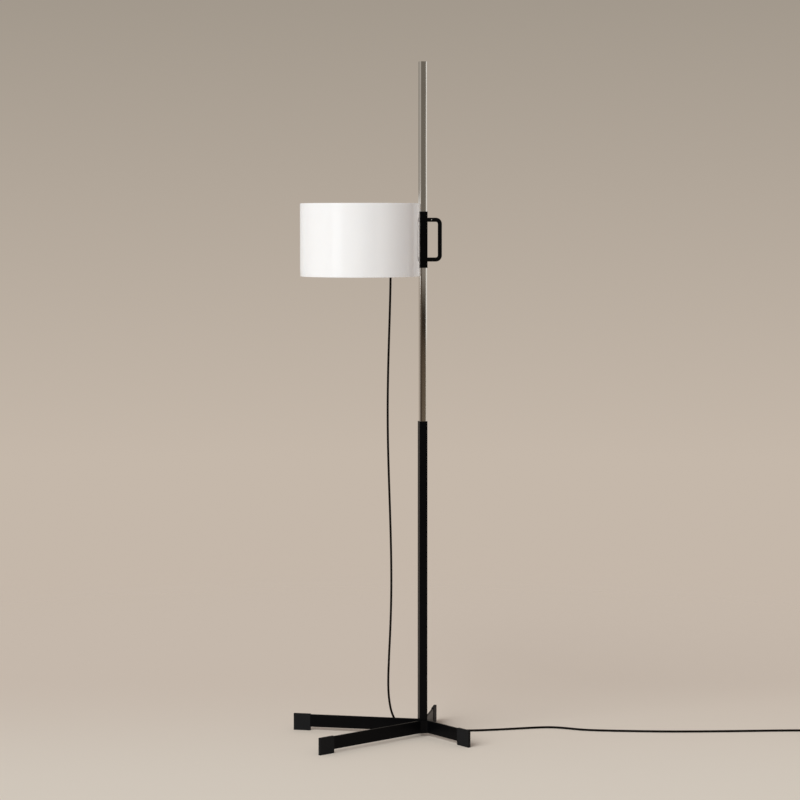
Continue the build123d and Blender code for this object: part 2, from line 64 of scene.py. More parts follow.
print("solids:", len(nodes), "post stands at", tuple(round(v, 4) for v in post_foot))

# %% [markdown]
# ## The camera
#
# The lamp is seen from its front left, from about the height of the shade, through a long lens. A
# camera that looks straight ahead and is shifted down keeps upright lines parallel, and one that is
# tilted needs no shift. This one does a little of each, because a large shift would push the lamp out
# of other views.

# %% Set up the camera
CAMERA_FROM_POST = Vector((-1.50845, -5.6516, 1.2936))
CAMERA_TURN = math.radians(14.392)
CAMERA_TILT = math.radians(2.5)
LENS_MM = 105.85
LENS_SHIFT = -0.0975

camera_data = bpy.data.cameras.new("camera")
camera_data.lens = LENS_MM
camera_data.shift_y = LENS_SHIFT
camera = bpy.data.objects.new("camera", camera_data)
camera.location = post_foot + CAMERA_FROM_POST
camera.rotation_euler = (math.radians(90) - CAMERA_TILT, 0, -CAMERA_TURN)
scene.collection.objects.link(camera)
scene.camera = camera
print("camera", tuple(round(v, 3) for v in camera.location), "lens", LENS_MM, "mm")

# %% [markdown]
# ## The cord's route
#
# A round flex hangs from a gland under the lampholder, lands behind the base and runs off over the
# floor. It could be a simulated rope, but a few listed points measured from the post's axis give the
# same slack line on every run. They are the points that guide the CAD tube.

# %% Points of the hanging and lying cord
UP = Vector((0, 0, 1))
CORD_DIA = 0.0055
HANGING = [
    (-0.0821, 0.0, 1.1945), (-0.0821, 0.0, 1.15), (-0.0829, 0.0045, 1.07), (-0.0843, 0.0093, 0.99),
    (-0.0853, 0.0142, 0.91), (-0.0852, 0.019, 0.83), (-0.0836, 0.0234, 0.75), (-0.0806, 0.0273, 0.67),
    (-0.077, 0.0308, 0.59), (-0.0736, 0.0342, 0.51), (-0.071, 0.0378, 0.43), (-0.0699, 0.0419, 0.35),
    (-0.071, 0.0465, 0.27), (-0.0738, 0.0513, 0.192), (-0.0752, 0.0549, 0.125), (-0.0724, 0.0566, 0.082),
    (-0.0646, 0.0566, 0.045), (-0.0495, 0.0558, 0.0205), (-0.027, 0.054, 0.0062),
    (0.0, 0.051, CORD_DIA / 2),
]
ON_FLOOR = [
    (0.028, 0.0463), (0.056, 0.0385), (0.084, 0.0282), (0.112, 0.0186), (0.144, 0.0116), (0.186, 0.0082),
    (0.242, 0.0072), (0.295, 0.0068), (0.329, 0.0036), (0.356, -0.0074), (0.379, -0.025), (0.401, -0.0434),
    (0.428, -0.0586), (0.472, -0.0758), (0.54, -0.0994), (0.61, -0.1212), (0.69, -0.1406), (0.77, -0.1576),
    (0.85, -0.1726), (0.914, -0.186), (0.97, -0.1996),
]
hanging = [post_foot + Vector(point) for point in HANGING]
lying = [post_foot + Vector((x, y, CORD_DIA / 2)) for x, y in ON_FLOOR]
heading = (lying[-1] - lying[-2]).normalized()
across = heading.cross(UP)
coil_gate = lying[-1] + heading * CORD_DIA
print("cord points:", len(hanging), "hanging and", len(lying), "on the floor")

# %% [markdown]
# ## The coil at its end
#
# The rest of the cord's three metres is wound up past the edge of the picture. Each turn is two half
# circles, and a change of radius between them makes the spiral: inwards on the floor, up one layer, and
# outwards again on top. The last points lead straight into the plug.

# %% Points of the coil and the tail
COIL_STEPS = [0, 1, 2, 3, 4, 3, 2, 1]
COIL_RADIUS = 0.034
COIL_PITCH = 0.006
HALF_TURN_POINTS = 6
TAIL_RUN = 0.022
TAIL_TURN = math.radians(8)


def coil_points(here):
    """Spline points of half turns that spiral in, climb one layer and spiral out, and where they end."""
    spread = 1 / math.cos(math.pi / (2 * HALF_TURN_POINTS))
    points = []
    for count, step in enumerate(COIL_STEPS):
        side = 1 if count % 2 == 0 else -1
        radius = COIL_RADIUS - step * COIL_PITCH / 2
        climb = COIL_PITCH if step == max(COIL_STEPS) else 0
        centre = here + across * (side * radius)
        for k in range(HALF_TURN_POINTS):
            share = (k + 0.5) / HALF_TURN_POINTS
            swing = heading * math.sin(math.pi * share) - across * math.cos(math.pi * share)
            points.append(centre + swing * (side * radius * spread) + UP * (climb * share))
        here = centre + across * (side * radius) + UP * climb
    return points, here


coil, coil_end = coil_points(coil_gate)
tail_bend = coil_end + heading * (CORD_DIA + TAIL_RUN)
plug_way = Matrix.Rotation(TAIL_TURN, 3, "Z") @ heading
tail_end = tail_bend + plug_way * TAIL_RUN
print("coil points:", len(coil), "plug at", tuple(round(v, 3) for v in tail_end))

# %% [markdown]
# ## One smooth line
#
# A cord has no corners. A NURBS spline takes all the points as its control points and passes near them
# in one soft curve. Blender then turns the curve into a row of vertices, which the sheath will follow.

# %% Lay one smooth spline along the points
SPLINE_ORDER = 3
SPLINE_STEPS = 10


def finished_mesh(thing):
    """A plain mesh of an object as its curve or its modifiers leave it."""
    bpy.context.view_layer.update()
    return bpy.data.meshes.new_from_object(thing.evaluated_get(bpy.context.evaluated_depsgraph_get()))


route = bpy.data.curves.new("cord route", "CURVE")
route.dimensions = "3D"
route.resolution_u = SPLINE_STEPS
spline = route.splines.new("NURBS")
route_points = [*hanging, *lying, *coil, tail_bend, tail_end]
spline.points.add(len(route_points) - 1)
for point, place in zip(spline.points, route_points):
    point.co = (*place, 1)
spline.order_u = SPLINE_ORDER
spline.use_endpoint_u = True
route_object = bpy.data.objects.new("cord route", route)
scene.collection.objects.link(route_object)
cord_line = [vertex.co.copy() for vertex in finished_mesh(route_object).vertices]
bpy.data.objects.remove(route_object)
cord_length = sum((b - a).length for a, b in zip(cord_line, cord_line[1:]))
print(f"cord length {cord_length:.3f} m on {len(cord_line)} points")

# %% [markdown]
# ## The cord's sheath
#
# The sheath is a tube swept along that line. A bevelled curve would do for the shape, but a mesh has
# its own UV map, which lets the finish follow the cord: u goes once round it, and v is metres along it.

# %% Sweep the sheath
SHEATH_SIDES = 14


def sheath_mesh(line, radius):
    """Closed tube along a line, with rings that turn as little as they can."""
    shape = bmesh.new()
    uv = shape.loops.layers.uv.new("sheath")
    outward = (line[1] - line[0]).orthogonal().normalized()
    angles = [math.tau * j / SHEATH_SIDES for j in range(SHEATH_SIDES)]
    rings = []
    lengths = []
    travelled = 0.0
    for i, place in enumerate(line):
        along = (line[min(i + 1, len(line) - 1)] - line[max(i - 1, 0)]).normalized()
        outward = (outward - along * outward.dot(along)).normalized()
        sideways = along.cross(outward)
        spokes = [outward * math.cos(angle) + sideways * math.sin(angle) for angle in angles]
        rings.append([shape.verts.new(place + spoke * radius) for spoke in spokes])
        travelled += (place - line[max(i - 1, 0)]).length
        lengths.append(travelled)
    for i in range(len(line) - 1):
        for j in range(SHEATH_SIDES):
            k = (j + 1) % SHEATH_SIDES
            face = shape.faces.new((rings[i][j], rings[i][k], rings[i + 1][k], rings[i + 1][j]))
            face.smooth = True
            corners = ((j, i), (j + 1, i), (j + 1, i + 1), (j, i + 1))
            for loop, (turn, step) in zip(face.loops, corners):
                loop[uv].uv = (turn / SHEATH_SIDES, lengths[step])
    shape.faces.new(reversed(rings[0]))
    shape.faces.new(rings[-1])
    mesh = bpy.data.meshes.new("cord")
    shape.to_mesh(mesh)
    shape.free()
    return mesh


cord = bpy.data.objects.new("cord", sheath_mesh(cord_line, CORD_DIA / 2))
scene.collection.objects.link(cord)
print("cord faces:", len(cord.data.polygons))

# %% [markdown]
# ## A way to write node trees
#
# Every finish is a tree of shader nodes. Written out in full, such a tree hides its meaning, so two
# small classes do the wiring. The first is a Wire: a node's output that can be used in sums. Each sum
# adds a Math node, so that a formula in the script reads as it would on paper.

# %% Wires


def find_socket(sockets, key):
    """A socket by its number, its identifier or its name."""
    if isinstance(key, int):
        return sockets[key]
    return next(socket for socket in sockets if key in (socket.identifier, socket.name))


class Wire:
    """A node's output that can be used in sums."""

    def __init__(self, tree, socket):
        self.tree = tree
        self.socket = socket

    def __add__(self, other):
        return self.tree.math("ADD", self, other)

    __radd__ = __add__

    def __sub__(self, other):
        return self.tree.math("SUBTRACT", self, other)

    def __rsub__(self, other):
        return self.tree.math("SUBTRACT", other, self)

    def __mul__(self, other):
        return self.tree.math("MULTIPLY", self, other)

    __rmul__ = __mul__

    def __truediv__(self, other):
        return self.tree.math("DIVIDE", self, other)

    def step(self, low, high):
        """A smooth step from 0 at low to 1 at high."""
        ends = {"Value": self, "From Min": low, "From Max": high}
        return self.tree.node("ShaderNodeMapRange", {"interpolation_type": "SMOOTHSTEP"}, ends)


print("wires take +, -, * and /, and smooth steps")

# %% [markdown]
# ## Trees
#
# The second class is a Tree. One method adds any node: its settings first, and then the values or the
# wires of its sockets. The others are short ways to the few nodes that most finishes need. Noise is
# asked for in grains per metre and a relief in metres, so that both have their true size on the lamp.

# %% Trees


class Tree:
    """A node tree, with one way to add a node to it."""

    def __init__(self, node_tree):
        self.node_tree = node_tree

    def node(self, kind, settings=(), inputs=(), out=0):
        """Adds a node and returns one of its outputs as a Wire."""
        node = self.node_tree.nodes.new(kind)
        for name, value in dict(settings).items():
            if name == "stops":
                ramp = node.color_ramp.elements
                ramp.remove(ramp[0])
                ramp[0].position = value[0][0]
                ramp[0].color = value[0][1]
                for position, color in value[1:]:
                    ramp.new(position).color = color
            else:
                setattr(node, name, value)
        for key, value in dict(inputs).items():
            socket = find_socket(node.inputs, key)
            if isinstance(value, Wire):
                self.node_tree.links.new(value.socket, socket)
            else:
                socket.default_value = value
        return Wire(self, find_socket(node.outputs, out)) if node.outputs else None

    def math(self, operation, *values):
        """A sum on numbers."""
        return self.node("ShaderNodeMath", {"operation": operation}, dict(enumerate(values)))

    def vector(self, operation, *values, out=0):
        """A sum on vectors."""
        return self.node("ShaderNodeVectorMath", {"operation": operation}, dict(enumerate(values)), out)

    def place(self):
        """A point's place on the lamp, in metres."""
        return self.node("ShaderNodeTexCoord", out="Object")

    def noise(self, per_metre, detail=2.0):
        """Noise with so many grains in a metre along x, y and z."""
        place = self.vector("MULTIPLY", self.place(), per_metre)
        return self.node("ShaderNodeTexNoise", inputs={"Vector": place, "Scale": 1.0, "Detail": detail})

    def mix(self, share, first, second):
        """A colour between two colours."""
        ends = {"Factor_Float": share, "A_Color": first, "B_Color": second}
        return self.node("ShaderNodeMix", {"data_type": "RGBA"}, ends, out="Result_Color")

    def bump(self, height, depth, under=None):
        """A normal for a relief of that depth in metres, on top of another one."""
        inputs = {"Height": height, "Distance": depth, "Strength": 1.0}
        if under is not None:
            inputs["Normal"] = under
        return self.node("ShaderNodeBump", inputs=inputs)


print("trees have short ways to", ", ".join(name for name in vars(Tree) if not name.startswith("_")))

# %% [markdown]
# ## How a finish starts and ends
#
# A material starts empty and ends in one Principled shader, which covers paint, plastic and metal
# alike. What is the same all over goes straight into its sockets, and what wanders over the surface is
# wired to them.

# %% Start and end a finish


def new_finish(name):
    """An empty material and the tree that it is made in."""
    material = bpy.data.materials.new(name)
    material.use_nodes = True
    material.node_tree.nodes.clear()
    return material, Tree(material.node_tree)


def skin(tree, inputs):
    """Ends a material's tree in one physically based shader."""
    shader = tree.node("ShaderNodeBsdfPrincipled", inputs=inputs)
    tree.node("ShaderNodeOutputMaterial", inputs={"Surface": shader})


print("ready for the lamp's finishes")

# %% [markdown]
# ## Paint, plastic and plain metal
#
# Most finishes on the lamp are a colour that wanders a little, a gloss that wanders with it, and a fine
# relief: the orange peel of enamel, the spark texture of a mould, the grain of a turned face. One
# function makes them all, because only their numbers differ. The black enamel is a matt one, so its
# gloss is held low.

# %% Make the plain finishes
CLOUDS = (40, 40, 40)


def plain_finish(name, dark, light, gloss, grains, depth, fixed):
    """A finish that wanders between two colours and two roughnesses, with a fine relief."""
    material, tree = new_finish(name)
    cloud = tree.noise(CLOUDS)
    grain = tree.noise((grains, grains, grains))
    rough_low, rough_high = gloss
    inputs = {
        "Base Color": tree.mix(cloud, (*dark, 1), (*light, 1)),
        "Roughness": rough_low + (rough_high - rough_low) * (cloud * 0.5 + grain * 0.5),
        "Normal": tree.bump(grain, depth),
    }
    skin(tree, inputs | fixed)
    return material


MATT_PAINT = {"Specular IOR Level": 0.06}
PAINT = {"Specular IOR Level": 0.35}
MATT_MOULDED = {"Specular IOR Level": 0.12}
SOFT_MOULDED = {"Specular IOR Level": 0.25}
MOULDED = {"Specular IOR Level": 0.4}
METAL = {"Metallic": 1.0}
PLAIN_FINISHES = {
    "black_paint": (
        (0.0012, 0.0012, 0.0015), (0.0022, 0.0022, 0.0025), (0.27, 0.37), 850, 1.2e-5, MATT_PAINT),
    "shoe_black": (
        (0.0085, 0.0085, 0.009), (0.0115, 0.0115, 0.012), (0.5, 0.66), 2400, 2.5e-5, MATT_PAINT),
    "seat_aluminium": ((0.56, 0.56, 0.57), (0.66, 0.66, 0.66), (0.3, 0.45), 1800, 1e-5, METAL),
    "screw_steel": ((0.52, 0.52, 0.53), (0.66, 0.65, 0.63), (0.2, 0.36), 1500, 8e-6, METAL),
    "white_paint": ((0.82, 0.81, 0.79), (0.87, 0.86, 0.84), (0.25, 0.36), 800, 1.5e-5, PAINT),
    "brake_polymer": ((0.08, 0.08, 0.08), (0.12, 0.12, 0.12), (0.5, 0.65), 2000, 2e-5, MOULDED),
    "holder_white": ((0.83, 0.82, 0.8), (0.88, 0.87, 0.85), (0.2, 0.32), 1600, 6e-6, MOULDED),
    "holder_ceramic": ((0.8, 0.78, 0.74), (0.9, 0.89, 0.86), (0.6, 0.8), 2600, 3e-5, MOULDED),
    "contact_brass": ((0.6, 0.44, 0.2), (0.76, 0.6, 0.33), (0.22, 0.42), 1400, 8e-6, METAL),
    "bulb_aluminium": ((0.62, 0.62, 0.63), (0.74, 0.74, 0.74), (0.25, 0.4), 1500, 8e-6, METAL),
    "plug_black": ((0.008, 0.008, 0.008), (0.014, 0.014, 0.014), (0.42, 0.56), 2200, 2.2e-5, SOFT_MOULDED),
    "gland_black": ((0.005, 0.005, 0.005), (0.009, 0.009, 0.009), (0.45, 0.6), 2200, 2e-5, MATT_MOULDED),
}
finishes = {slot: plain_finish(slot.replace("_", " "), *recipe) for slot, recipe in PLAIN_FINISHES.items()}
print("plain finishes:", len(finishes))

# %% [markdown]
# ## Chrome
#
# The mast is a drawn square tube, polished and plated. It has almost no colour of its own, so what it
# shows is the studio. Three reliefs shape that picture: a drawn face is a hair higher in its middle,
# polishing leaves slow waves, and fine lines run along the tube. The noise for the last two is
# stretched along z.

# %% Make the chrome
HALF_FLAT = 0.0063
CROWN_DEPTH = 1.2e-4
POLISH_WAVES = (30, 30, 9)
WAVE_DEPTH = 3e-5
DRAWN_LINES = (1400, 1400, 7)
LINE_DEPTH = 1.5e-6
CHROME_GLOSS = 0.03
LINE_GLOSS = 0.05


def chrome_finish():
    """Plated metal with crowned flats, slow waves and fine lines."""
    material, tree = new_finish("mast chrome")
    lines = tree.noise(DRAWN_LINES)
    waves = tree.noise(POLISH_WAVES, detail=1.0)
    from_axis = tree.vector("SUBTRACT", tree.place(), post_foot)
    flats = tree.vector("MULTIPLY", from_axis, (1 / HALF_FLAT, 1 / HALF_FLAT, 0))
    crown = 1 - tree.vector("DOT_PRODUCT", flats, flats, out="Value")
    polished = tree.bump(waves, WAVE_DEPTH, under=tree.bump(crown, CROWN_DEPTH))
    skin(tree, {
        "Base Color": tree.mix(waves, (0.74, 0.73, 0.71, 1), (0.82, 0.81, 0.79, 1)),
        "Metallic": 1.0,
        "Roughness": CHROME_GLOSS + lines * LINE_GLOSS,
        "Normal": tree.bump(lines, LINE_DEPTH, under=polished),
    })
    return material


finishes["mast_chrome"] = chrome_finish()
print("made", finishes["mast_chrome"].name)

# %% [markdown]
# ## Opal shade and bulb
#
# The shade is glossy white plastic that lets light into its wall, which softens the step from its lit
# side to its shaded side. Subsurface scattering gives that. The gloss is smooth but not flat: a moulded
# drum has very shallow waves. The bulb's opal glass is the same idea with a harder gloss.

# %% Make the opal finishes
OPAL_CLOUDS = (14, 14, 14)
MOULD_WAVES = (22, 22, 8)
GLOSS_WANDER = 0.03
OPAL_IOR = 1.49
LIGHT_LET_IN = 0.35


def opal_finish(name, dark, light, roughness, wave_depth, depth_of_light):
    """Glossy white that lets light some way into its wall."""
    material, tree = new_finish(name)
    cloud = tree.noise(OPAL_CLOUDS)
    waves = tree.noise(MOULD_WAVES, detail=1.0)
    skin(tree, {
        "Base Color": tree.mix(cloud, (*dark, 1), (*light, 1)),
        "Roughness": roughness + cloud * GLOSS_WANDER,
        "Normal": tree.bump(waves, wave_depth),
        "IOR": OPAL_IOR,
        "Subsurface Weight": LIGHT_LET_IN,
        "Subsurface Radius": (1.0, 0.95, 0.9),
        "Subsurface Scale": depth_of_light,
    })
    return material


finishes["opal_white"] = opal_finish(
    "opal shade", (0.905, 0.9, 0.895), (0.925, 0.92, 0.915),
    roughness=0.05, wave_depth=6e-5, depth_of_light=0.006)
finishes["bulb_glass"] = opal_finish(
    "opal glass", (0.9, 0.89, 0.87), (0.93, 0.92, 0.9),
    roughness=0.04, wave_depth=2e-5, depth_of_light=0.004)
print("made", finishes["opal_white"].name, "and", finishes["bulb_glass"].name)

# %% [markdown]
# ## The sheath's finish
#
# The cord's smooth dark sheath shows its twisted cores as a faint spiral. A picture of a spiral would
# have a seam. The UV map makes it a sum instead: the turn round the cord plus the length along it, put
# through a sine.

# %% Make the sheath's finish
CORES = 2
CORE_TWIST = 0.04
CORE_RELIEF = 8e-5
FINE_GRAIN = (1500, 1500, 1500)
SHEATH_CLOUDS = (60, 60, 60)
SHEATH_GRAIN = 1e-5
SHEATH_SHINE = 0.06


def sheath_finish():
    """Dark flexible plastic with the faint spiral of the cores inside."""
    material, tree = new_finish("cord sheath")
    map_place = tree.node("ShaderNodeUVMap", {"uv_map": "sheath"})
    turn = tree.node("ShaderNodeSeparateXYZ", inputs={0: map_place}, out="X")
    along = tree.node("ShaderNodeSeparateXYZ", inputs={0: map_place}, out="Y")
    spiral = tree.math("SINE", (turn * CORES + along / CORE_TWIST) * math.tau)
    grain = tree.noise(FINE_GRAIN)
    cloud = tree.noise(SHEATH_CLOUDS)
    skin(tree, {
        "Base Color": tree.mix(cloud, (0.0035, 0.0024, 0.0016, 1), (0.0065, 0.0045, 0.003, 1)),
        "Roughness": 0.42 + grain * 0.14,
        "Specular IOR Level": SHEATH_SHINE,
        "Normal": tree.bump(grain, SHEATH_GRAIN, under=tree.bump(spiral * 0.5 + 0.5, CORE_RELIEF)),
    })
    return material


finishes["cord_dark"] = sheath_finish()
cord.data.materials.append(finishes["cord_dark"])
print("made", finishes["cord_dark"].name)

# %% [markdown]
# ## The pins' finish
#
# The plug's pins are nickel with a black sleeve next to the plug, for safety. The sleeve could be a
# piece of its own, but it is flush with the pin, so a mask along the plug's axis is enough. Then every
# solid gets the finish that its slot is named after, and the gland, which is moulded, gets its own.

# %% Make the pins' finish and dress the solids
RELIEF_LENGTH = 0.022
PLUG_LENGTH = 0.034
SLEEVE_LENGTH = 0.0095
SLEEVE_EDGE = 0.0002
NICKEL_GRAIN = 6e-6
sleeve_end = (tail_end + plug_way * (RELIEF_LENGTH + PLUG_LENGTH + SLEEVE_LENGTH)).dot(plug_way)


def pin_finish():
    """Bright nickel with a black sleeve next to the plug."""
    material, tree = new_finish("pin nickel")
    reach = tree.vector("DOT_PRODUCT", tree.place(), plug_way, out="Value")
    bare = reach.step(sleeve_end, sleeve_end + SLEEVE_EDGE)
    grain = tree.noise(FINE_GRAIN)
    skin(tree, {
        "Base Color": tree.mix(bare, (0.016, 0.016, 0.016, 1), (0.66, 0.64, 0.6, 1)),
        "Metallic": bare,
        "Roughness": 0.5 - bare * 0.28 + grain * 0.08,
        "Normal": tree.bump(grain, NICKEL_GRAIN),
    })
    return material


finishes["pin_nickel"] = pin_finish()
for node in nodes.values():
    slot = node.material_slots[0]
    slot.material = finishes[slot.material.name]
nodes["cord_gland"].material_slots[0].material = finishes["gland_black"]
print("finishes on", len(nodes), "solids")

# %% [markdown]
# ## What repeats
#
# Ribs repeat, so Geometry Nodes place one rib many times, from named sizes. These helpers start such a
# tree, end it, and turn its result into a plain mesh where it belongs, because an exported model keeps
# no instances.

# %% Helpers for Geometry Nodes
LENGTH = "NodeSocketFloat"
COUNT = "NodeSocketInt"


def new_grower(name, sizes):
    """A geometry tree with a named input for each size, given as (socket type, value), and their wires."""
    group = bpy.data.node_groups.new(name, "GeometryNodeTree")
    group.interface.new_socket("Geometry", in_out="OUTPUT", socket_type="NodeSocketGeometry")
    for label, (kind, value) in sizes.items():
        group.interface.new_socket(label, in_out="INPUT", socket_type=kind).default_value = value
    tree = Tree(group)
    return group, tree, {label: tree.node("NodeGroupInput", out=label) for label in sizes}


def end_grower(tree, geometry, material):
    """Makes a tree's instances real, smooth and finished, and ends it."""
    real = tree.node("GeometryNodeRealizeInstances", inputs={"Geometry": geometry})
    smooth = tree.node("GeometryNodeSetShadeSmooth", inputs={"Geometry": real})
    done = tree.node("GeometryNodeSetMaterial", inputs={"Geometry": smooth, "Material": material})
    tree.node("NodeGroupOutput", inputs={"Geometry": done})


def grown(name, group, sizes, place):
    """A plain mesh piece from a geometry tree with these sizes, moved to its place."""
    piece = bpy.data.objects.new(name, bpy.data.meshes.new(name))
    scene.collection.objects.link(piece)
    modifier = piece.modifiers.new("grow", "NODES")
    modifier.node_group = group
    for item in group.interface.items_tree:
        if item.in_out == "INPUT" and item.name in sizes:
            modifier[item.identifier] = sizes[item.name]
    mesh = finished_mesh(piece)
    piece.modifiers.clear()
    mesh.transform(place)
    piece.data = mesh
    print(name, "has", len(mesh.polygons), "faces")
    return piece


def stood_on(place, way):
    """The matrix that puts a piece's z axis along a way from a place."""
    return Matrix.Translation(place) @ way.to_track_quat("Z", "Y").to_matrix().to_4x4()


print("growers are ready")

# %% [markdown]
# ## Ribs round the gland and the plug's relief
#
# Both are soft tapered sleeves, ribbed so that the cord bends gently where it enters. The solids have
# the taper. The ribs are rings in a row along z, and each ring's radius comes from its number in the
# row.

# %% Grow the rings
RING_SIDES = 40
SECTION_SIDES = 10


def relief_ribs_tree(name, material):
    """Rings along z whose radius goes evenly from a first to a last value."""
    group, tree, size = new_grower(name, {
        "Count": (COUNT, 6), "Pitch": (LENGTH, 0.0032), "First radius": (LENGTH, 0.0042),
        "Last radius": (LENGTH, 0.0053), "Thickness": (LENGTH, 0.0008)})
    offset = tree.node("ShaderNodeCombineXYZ", inputs={"Z": size["Pitch"]})
    row = {"Count": size["Count"], "Offset": offset}
    places = tree.node("GeometryNodeMeshLine", {"mode": "OFFSET"}, row)
    share = tree.node("GeometryNodeInputIndex") / (size["Count"] - 1)
    radius = size["First radius"] + (size["Last radius"] - size["First radius"]) * share
    spread = tree.node("ShaderNodeCombineXYZ", inputs={"X": radius, "Y": radius, "Z": radius})
    round_path = {"Resolution": RING_SIDES, "Radius": 1.0}
    circle = tree.node("GeometryNodeCurvePrimitiveCircle", inputs=round_path)
    round_rib = {"Resolution": SECTION_SIDES, "Radius": size["Thickness"] / size["First radius"]}
    section = tree.node("GeometryNodeCurvePrimitiveCircle", inputs=round_rib)
    ring = tree.node("GeometryNodeCurveToMesh", inputs={"Curve": circle, "Profile Curve": section})
    instances = {"Points": places, "Instance": ring, "Scale": spread}
    end_grower(tree, tree.node("GeometryNodeInstanceOnPoints", inputs=instances), material)
    return group


FIRST_PLUG_RIB = 0.0028
FIRST_GLAND_RIB = 0.003

plug_ribs = grown("plug_relief_ribs", relief_ribs_tree("plug relief ribs", finishes["plug_black"]),
                  {}, stood_on(tail_end + plug_way * FIRST_PLUG_RIB, plug_way))
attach(plug_ribs, "stand")

gland_ribs = grown("cord_gland_ribs", relief_ribs_tree("gland ribs", finishes["gland_black"]),
                   {"Pitch": 0.0036, "Last radius": 0.0056},
                   stood_on(hanging[0] + UP * FIRST_GLAND_RIB, UP))
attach(gland_ribs, "carriage")

# %% [markdown]
# ## Grip ribs round the lampholder
#
# The lampholder's sleeve screws onto its cap by hand, so straight ribs run along it. They could be cut
# into the sleeve, but it is simpler to set a thin bar at each point of a circle.

# %% Grow the bars


def grip_ribs_tree(material):
    """Straight bars along z, spaced evenly round a circle."""
    group, tree, size = new_grower("grip ribs", {
        "Count": (COUNT, 30), "Radius": (LENGTH, 0.0194), "Length": (LENGTH, 0.026),
        "Thickness": (LENGTH, 0.0008)})
    circle = {"Vertices": size["Count"], "Radius": size["Radius"]}
    places = tree.node("GeometryNodeMeshCircle", inputs=circle)
    top = tree.node("ShaderNodeCombineXYZ", inputs={"Z": size["Length"]})
    line = tree.node("GeometryNodeCurvePrimitiveLine", inputs={"End": top})
    round_bar = {"Resolution": SECTION_SIDES, "Radius": size["Thickness"]}
    section = tree.node("GeometryNodeCurvePrimitiveCircle", inputs=round_bar)
    sweep = {"Curve": line, "Profile Curve": section, "Fill Caps": True}
    bar = tree.node("GeometryNodeCurveToMesh", inputs=sweep)
    bars = tree.node("GeometryNodeInstanceOnPoints", inputs={"Points": places, "Instance": bar})
    end_grower(tree, bars, material)
    return group


GRIP_MARGIN = 0.002

sleeve_low, sleeve_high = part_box("lampholder_body")
sleeve_middle = (sleeve_low + sleeve_high) / 2
sleeve_start = Vector((sleeve_high.x - GRIP_MARGIN, sleeve_middle.y, sleeve_middle.z))
grip_ribs = grown("lampholder_grip_ribs", grip_ribs_tree(finishes["holder_white"]),
                  {}, stood_on(sleeve_start, Vector((-1, 0, 0))))
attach(grip_ribs, "carriage")

# %% [markdown]
# ## The coil's tie
#
# A soft strap holds the turns of the coil together. It is a flat band that follows a rounded rectangle
# round the turns, so the path is a rectangle with its corners filleted, and the section is a thin one
# with rounded edges.

# %% Make the tie
PATH_CORNER_STEPS = 8
EDGE_STEPS = 3
EDGE_SHARE = 0.45


def tie_tree(material):
    """A flat band round a rounded rectangle in the xy plane."""
    group, tree, size = new_grower("coil tie", {
        "Width": (LENGTH, 0.0186), "Height": (LENGTH, 0.0118), "Corner": (LENGTH, 0.0034),
        "Band": (LENGTH, 0.009), "Thickness": (LENGTH, 0.0007)})

    def rounded(width, height, corner, count):
        """A rectangle with its corners filleted."""
        sides = {"Width": width, "Height": height}
        box = tree.node("GeometryNodeCurvePrimitiveQuadrilateral", inputs=sides)
        corners = {"Curve": box, "Count": count, "Radius": corner}
        return tree.node("GeometryNodeFilletCurve", {"mode": "POLY"}, corners)

    path = rounded(size["Width"], size["Height"], size["Corner"], PATH_CORNER_STEPS)
    section = rounded(size["Thickness"], size["Band"], size["Thickness"] * EDGE_SHARE, EDGE_STEPS)
    band = tree.node("GeometryNodeCurveToMesh", inputs={"Curve": path, "Profile Curve": section})
    end_grower(tree, band, material)
    return group


TIE_ACROSS = 0.062
TIE_RISE = 0.0061

tie_place = coil_gate + across * TIE_ACROSS + UP * TIE_RISE
tie_turn = Matrix((across, UP, -heading)).transposed().to_4x4()
tie = grown("coil_tie", tie_tree(finishes["plug_black"]), {}, Matrix.Translation(tie_place) @ tie_turn)
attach(tie, "stand")

# %% [markdown]
# ## The plug
#
# The CAD plug has sharp upper and lower edges, which no mould gives. A copy of it, merged and cleaned
# to whole faces, gets its edges rounded by a bevel, and stands in for the solid.

# %% Round the plug's edges
PLUG_ROUNDING = 0.0025
ROUNDING_STEPS = 4
SAME_POINT = 1e-6
FLAT_WITHIN = math.radians(1)
SHARP_FROM = math.radians(50)


def rounded_copy(node, name, width):
    """A copy of a solid with its edges bevelled."""
    shape = bmesh.new()
    shape.from_mesh(node.data)
    bmesh.ops.remove_doubles(shape, verts=shape.verts, dist=SAME_POINT)
    bmesh.ops.dissolve_limit(shape, angle_limit=FLAT_WITHIN, verts=shape.verts, edges=shape.edges)
    mesh = bpy.data.meshes.new(name)
    shape.to_mesh(mesh)
    shape.free()
    mesh.shade_smooth()
    piece = bpy.data.objects.new(name, mesh)
    scene.collection.objects.link(piece)
    bevel = piece.modifiers.new("edges", "BEVEL")
    bevel.width = width
    bevel.segments = ROUNDING_STEPS
    bevel.limit_method = "ANGLE"
    bevel.angle_limit = SHARP_FROM
    bevel.harden_normals = True
    rounded = finished_mesh(piece)
    piece.modifiers.clear()
    piece.data = rounded
    print(name, "has", len(rounded.polygons), "faces")
    return piece


plug = rounded_copy(nodes["plug_body"], "moulded_plug", PLUG_ROUNDING)
plug.data.materials.clear()
plug.data.materials.append(finishes["plug_black"])
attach(plug, "stand")
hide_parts("plug_body")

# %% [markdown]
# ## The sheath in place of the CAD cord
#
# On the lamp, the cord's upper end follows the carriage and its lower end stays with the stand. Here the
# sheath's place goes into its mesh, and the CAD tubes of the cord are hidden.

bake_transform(cord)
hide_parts("cord_drop", "cord_floor", "cord_coil", "cord_tail")
print("cord declared, exit at", tuple(round(v, 4) for v in hanging[0]))
